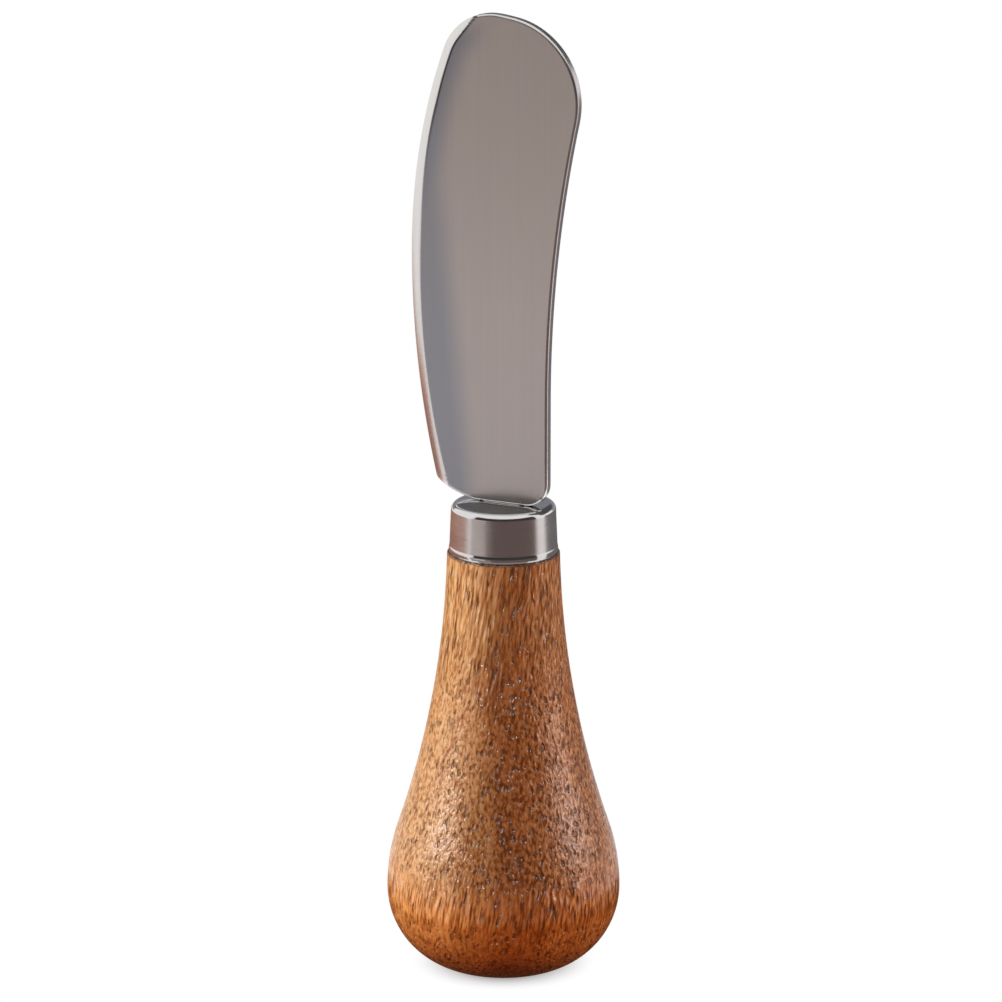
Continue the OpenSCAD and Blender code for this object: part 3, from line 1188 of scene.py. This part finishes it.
@dataclass
class Handle:
    """Turned handle: a round bulb to stand on, a hollow neck, a tenon and a drilled hole."""

    height: float
    bulb_r: float
    tenon_top_z: float
    hole_point_z: float
    wood: TurnedWood
    tenon_r: float = 6.15 * MM
    hole_r: float = 4.2 * MM
    bulb_z: float = 11 * MM
    foot_r: float = 7.3 * MM
    underside_sweep: float = 78
    shoulder_r: float = 27 * MM
    neck_curve_r: float = 128 * MM
    neck_r: float = 7.65 * MM
    neck_edge_r: float = 0.2 * MM
    drill_angle: float = 31
    underside_points: int = 40
    sides: int = 192
    step: float = 0.8 * MM

    @classmethod
    def from_frame(cls) -> "Handle":
        """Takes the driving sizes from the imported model."""
        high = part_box("handle")[1]
        ferrule_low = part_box("ferrule")[0]
        bond_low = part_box("epoxy_bond")[0]
        return cls(
            height=ferrule_low.z,
            bulb_r=high.x,
            tenon_top_z=high.z,
            hole_point_z=bond_low.z,
            wood=TurnedWood(joint_z=ferrule_low.z / MM),
        )

    def build(self) -> bpy.types.Object:
        """Makes the handle's mesh and dresses it."""
        shell = Shell()
        profile = self._profile()
        shell.turn(profile, [0] * (len(profile) - 1), self.sides)
        return shell.build("handle_turned", [self.wood.material()])

    def _profile(self) -> np.ndarray:
        """Radius and height along the handle, from the foot up and down into the drilled hole."""
        sweep = math.radians(self.underside_sweep)
        wide = (self.bulb_r - self.foot_r) / (1 - math.cos(sweep))
        tall = self.bulb_z / math.sin(sweep)
        angles = np.linspace(sweep, 0, self.underside_points)[:-1]
        underside = np.column_stack(
            (self.bulb_r - wide + wide * np.cos(angles), self.bulb_z - tall * np.sin(angles))
        )
        shoulder_c = np.array((self.bulb_r - self.shoulder_r, self.bulb_z))
        neck_top = np.array((self.neck_r, self.height - self.neck_edge_r))
        neck_c = crossing(neck_top, self.neck_curve_r, shoulder_c, self.shoulder_r + self.neck_curve_r)
        shoulder = arc(shoulder_c, self.shoulder_r, 0, aim(shoulder_c, neck_c), self.step)
        neck = arc(
            neck_c, self.neck_curve_r, full_aim(neck_c, shoulder_c), full_aim(neck_c, neck_top), self.step
        )
        edge_c = neck_top - (self.neck_edge_r, 0)
        edge = arc(edge_c, self.neck_edge_r, 0, math.pi / 2, self.step)
        hole_end_z = self.hole_point_z + self.hole_r * slope(self.drill_angle)
        inside = (
            (self.tenon_r, self.height),
            (self.tenon_r, self.tenon_top_z),
            (self.hole_r, self.tenon_top_z),
            (self.hole_r, hole_end_z),
            (0, self.hole_point_z),
        )
        return np.vstack((((0, 0),), underside, shoulder, neck[1:], edge[1:], inside))


@dataclass(frozen=True)
class Softbox:
    """A lamp with a broad face that looks at the object."""

    name: str
    azimuth: float
    elevation: float
    distance: float
    size: Pair
    power: float
    lights: bool = True
    mirrored: bool = True
    only_on: str = ""

    def build(self) -> None:
        """Makes the lamp and turns it towards the middle of the object."""
        lamp = bpy.data.lights.new(self.name, "AREA")
        lamp.shape = "RECTANGLE"
        lamp.size, lamp.size_y = self.size
        lamp.energy = self.power
        way = sky(self.azimuth, self.elevation)
        lamp_object = link(self.name, lamp)
        lamp_object.location = MIDDLE + self.distance * way
        lamp_object.rotation_euler = (-way).to_track_quat("-Z", "Y").to_euler()
        lamp_object.visible_diffuse = self.lights
        lamp_object.visible_glossy = self.mirrored
        if self.only_on:
            lit = bpy.data.collections.new(self.name + "_lit")
            lit.objects.link(bpy.data.objects[self.only_on])
            lamp_object.light_linking.receiver_collection = lit


@dataclass(frozen=True)
class Flag:
    """A card that glows with its tone and that only reflections show, a painted reflection: a sector of a
    ring round the object.
    """

    name: str
    azimuths: Pair
    radii: Pair
    tone: Colour
    heights: Pair = (1 * MM, 1 * MM)
    sector: float = 5

    def build(self) -> None:
        """Makes the card and hides it from everything but reflections."""
        count = max(2, round((self.azimuths[1] - self.azimuths[0]) / self.sector))
        ways = [compass(azimuth) for azimuth in np.linspace(*self.azimuths, count + 1)]
        vertices = []
        for way in ways:
            for radius, height in zip(self.radii, self.heights):
                vertices.append(radius * way + Vector((0, 0, height)))
        faces = [(2 * i, 2 * i + 1, 2 * i + 3, 2 * i + 2) for i in range(count)]
        mesh = bpy.data.meshes.new(self.name)
        mesh.from_pydata(vertices, [], faces)
        shader = Shader.for_material(self.name)
        mesh.materials.append(shader.ended(shader.glow(self.tone)))
        card = link(self.name, mesh)
        for rays in ("camera", "diffuse", "shadow", "transmission"):
            setattr(card, f"visible_{rays}", False)


@dataclass
class Studio:
    """Pale floor, even surroundings, softboxes and the glowing toned cards that the steel mirrors as
    painted reflections.

    The floor looks pale but bounces a warm light on the object. Lengths are in metres.
    """

    floor_size: float = 6
    floor_colour: Colour = (0.92, 0.92, 0.92)
    near_bounce: Colour = (0.12, 0.03, 0.01)
    far_bounce: Colour = (1.0, 0.36, 0.13)
    bounce_from: Pair = (0.012, 0.035)
    white_from: Pair = (0.004, 0.013)
    fill: float = 0.355
    softboxes: tuple[Softbox, ...] = (
        Softbox("key_softbox", -68, 6, 0.9, (0.8, 0.5), 8.4, mirrored=False),
        Softbox("rim_softbox", 120, 0, 0.9, (0.3, 0.5), 6.3, mirrored=False),
        Softbox("haze_left", -49, 23, 1.0, (0.25, 0.45), 10, lights=False, only_on="handle_turned"),
        Softbox("haze_right", 108, 15, 1.0, (0.25, 0.45), 4, lights=False, only_on="handle_turned"),
    )
    flags: tuple[Flag, ...] = (
        # Glowing cards as painted reflections; flag_under is painted shade under the object, seen only in
        # reflections
        Flag("flag_under", (0, 360), (0.0075, 0.045), (0.1, 0.045, 0.025), (0.0005, 0.0005)),
        Flag("flag_near_front", (-30, 80), (0.045, 0.12), (0.3, 0.28, 0.28)),
        Flag("flag_warm_left", (-156, -61), (0.31, 0.45), (0.5, 0.31, 0.26)),
        Flag("flag_warm_near", (-156, -55), (0.12, 0.25), (0.34, 0.165, 0.125)),
        Flag("flag_pale_left", (-55, -45), (0.12, 0.245), (0.95, 0.9, 0.88)),
        Flag("flag_warm_heel", (-156, -54), (0.25, 0.31), (0.46, 0.19, 0.12)),
        Flag("flag_mid_near", (-45, 0), (0.12, 0.245), (0.33, 0.275, 0.27)),
        Flag("flag_mid", (-40, -12), (0.245, 0.37), (0.8, 0.75, 0.74)),
        Flag("flag_mid_far", (-40, -12), (0.37, 1.6), (0.44, 0.36, 0.32)),
        Flag("flag_mid_left", (-48, -40), (0.245, 1.6), (0.46, 0.41, 0.4)),
        Flag("flag_mid_right", (-12, 0), (0.245, 1.6), (0.22, 0.175, 0.165)),
        Flag("flag_dark_front", (0, 101), (0.12, 1.6), (0.15, 0.108, 0.102)),
        Flag("flag_pale_right", (101, 127), (0.12, 1.6), (1.0, 0.96, 0.95)),
        Flag("flag_dark_back", (127, 204), (0.12, 1.6), (0.17, 0.155, 0.16)),
        Flag("flag_back_low", (160, 244), (1.5, 1.5), (0.28, 0.28, 0.32), (0.06, 0.5)),
        Flag("flag_camera_side", (-40, 100), (1.3, 1.1), (0.05, 0.045, 0.045), (0.0, 0.9)),
        Flag("flag_back_high", (120, 240), (1.5, 1.1), (0.09, 0.085, 0.09), (0.5, 2.0)),
    )

    def build(self) -> None:
        """Makes the floor, the surroundings, the lamps and the cards."""
        self._floor()
        self._surroundings()
        for softbox in self.softboxes:
            softbox.build()
        for flag in self.flags:
            flag.build()

    @staticmethod
    def _seen_rays(shader: Shader) -> Signal:
        """1 for the rays that look at the set rather than light it."""
        path = shader.node("ShaderNodeLightPath", output="Is Camera Ray")
        return path.most(path.output("Is Glossy Ray")).most(path.output("Is Transmission Ray"))

    def _floor(self) -> None:
        """Makes the floor, which keeps the object's shadow and turns to plain white further out."""
        half = self.floor_size / 2
        mesh = bpy.data.meshes.new("floor")
        corners = [(-half, -half, 0), (half, -half, 0), (half, half, 0), (-half, half, 0)]
        mesh.from_pydata(corners, [], [(0, 1, 2, 3)])
        shader = Shader.for_material("floor_pale")
        place = shader.node("ShaderNodeTexCoord", output="Object")
        away = shader.node("ShaderNodeVectorMath", {"operation": "LENGTH"}, {0: place}, "Value")
        seen = self._seen_rays(shader)
        white = seen * away.eased(*self.white_from)
        bounce = shader.blend(away.eased(*self.bounce_from), self.near_bounce, self.far_bounce)
        colour = shader.blend(seen, bounce, self.floor_colour)
        matt = shader.node("ShaderNodeBsdfDiffuse", None, {"Color": colour})
        shading = shader.node("ShaderNodeMixShader", None, {0: white, 1: matt, 2: shader.glow(WHITE)})
        mesh.materials.append(shader.ended(shading))
        floor = link("floor", mesh)

    def _surroundings(self) -> None:
        """Sets a world that looks white and lights the object at a plain level."""
        world = bpy.data.worlds.new("studio_world")
        bpy.context.scene.world = world
        shader = Shader(world)
        level = mixed(self.fill, 1.0, self._seen_rays(shader))
        glow = shader.node("ShaderNodeBackground", None, {"Color": WHITE, "Strength": level})
        shader.node("ShaderNodeOutputWorld", None, {"Surface": glow})


@dataclass
class PhotoCamera:
    """Camera at the photograph's viewing angle."""

    azimuth: float = 26
    elevation: float = 15
    distance: float = 0.7
    lens_mm: float = 186.6
    sensor_mm: float = 36
    aim_right: float = -0.337 * MM
    aim_up: float = -0.525 * MM
    near: float = 10 * MM

    def build(self) -> None:
        """Makes the camera and gives it to the scene."""
        way = sky(self.azimuth, self.elevation)
        right = Vector((0, 0, 1)).cross(way).normalized()
        up = way.cross(right)
        lens = bpy.data.cameras.new("photo_camera")
        lens.lens = self.lens_mm
        lens.sensor_width = self.sensor_mm
        lens.clip_start = self.near
        camera = link("photo_camera", lens)
        camera.location = MIDDLE + self.aim_right * right + self.aim_up * up + self.distance * way
        camera.rotation_euler = way.to_track_quat("Z", "Y").to_euler()
        bpy.context.scene.camera = camera


def place_piece(piece: bpy.types.Object, node: str) -> None:
    """Lets a piece stand for its CAD node.

    Args:
        piece: The finished piece.
        node: The CAD node that it replaces.
    """
    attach(piece, BODY)
    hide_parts(node)
    LOG.info("%s: %d faces, for %s", piece.name, len(piece.data.polygons), node)


def dress_bond() -> None:
    """Gives the epoxy's own solid its material."""
    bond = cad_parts["epoxy_bond"]
    bond.data.materials.clear()
    bond.data.materials.append(CuredEpoxy().material())
    LOG.info("%s: kept from the packed model", bond.name)


def main() -> None:
    """Builds the pieces in order, then the set and the camera."""
    logging.basicConfig(level=logging.INFO, format="%(name)s: %(message)s")
    bpy.context.scene.view_settings.view_transform = "Standard"
    PhotoCamera().build()
    place_piece(Blade.from_frame().build(), "blade")
    place_piece(Ferrule.from_frame().build(), "ferrule")
    place_piece(Handle.from_frame().build(), "handle")
    dress_bond()
    Studio().build()


if __name__ == "__main__":
    main()
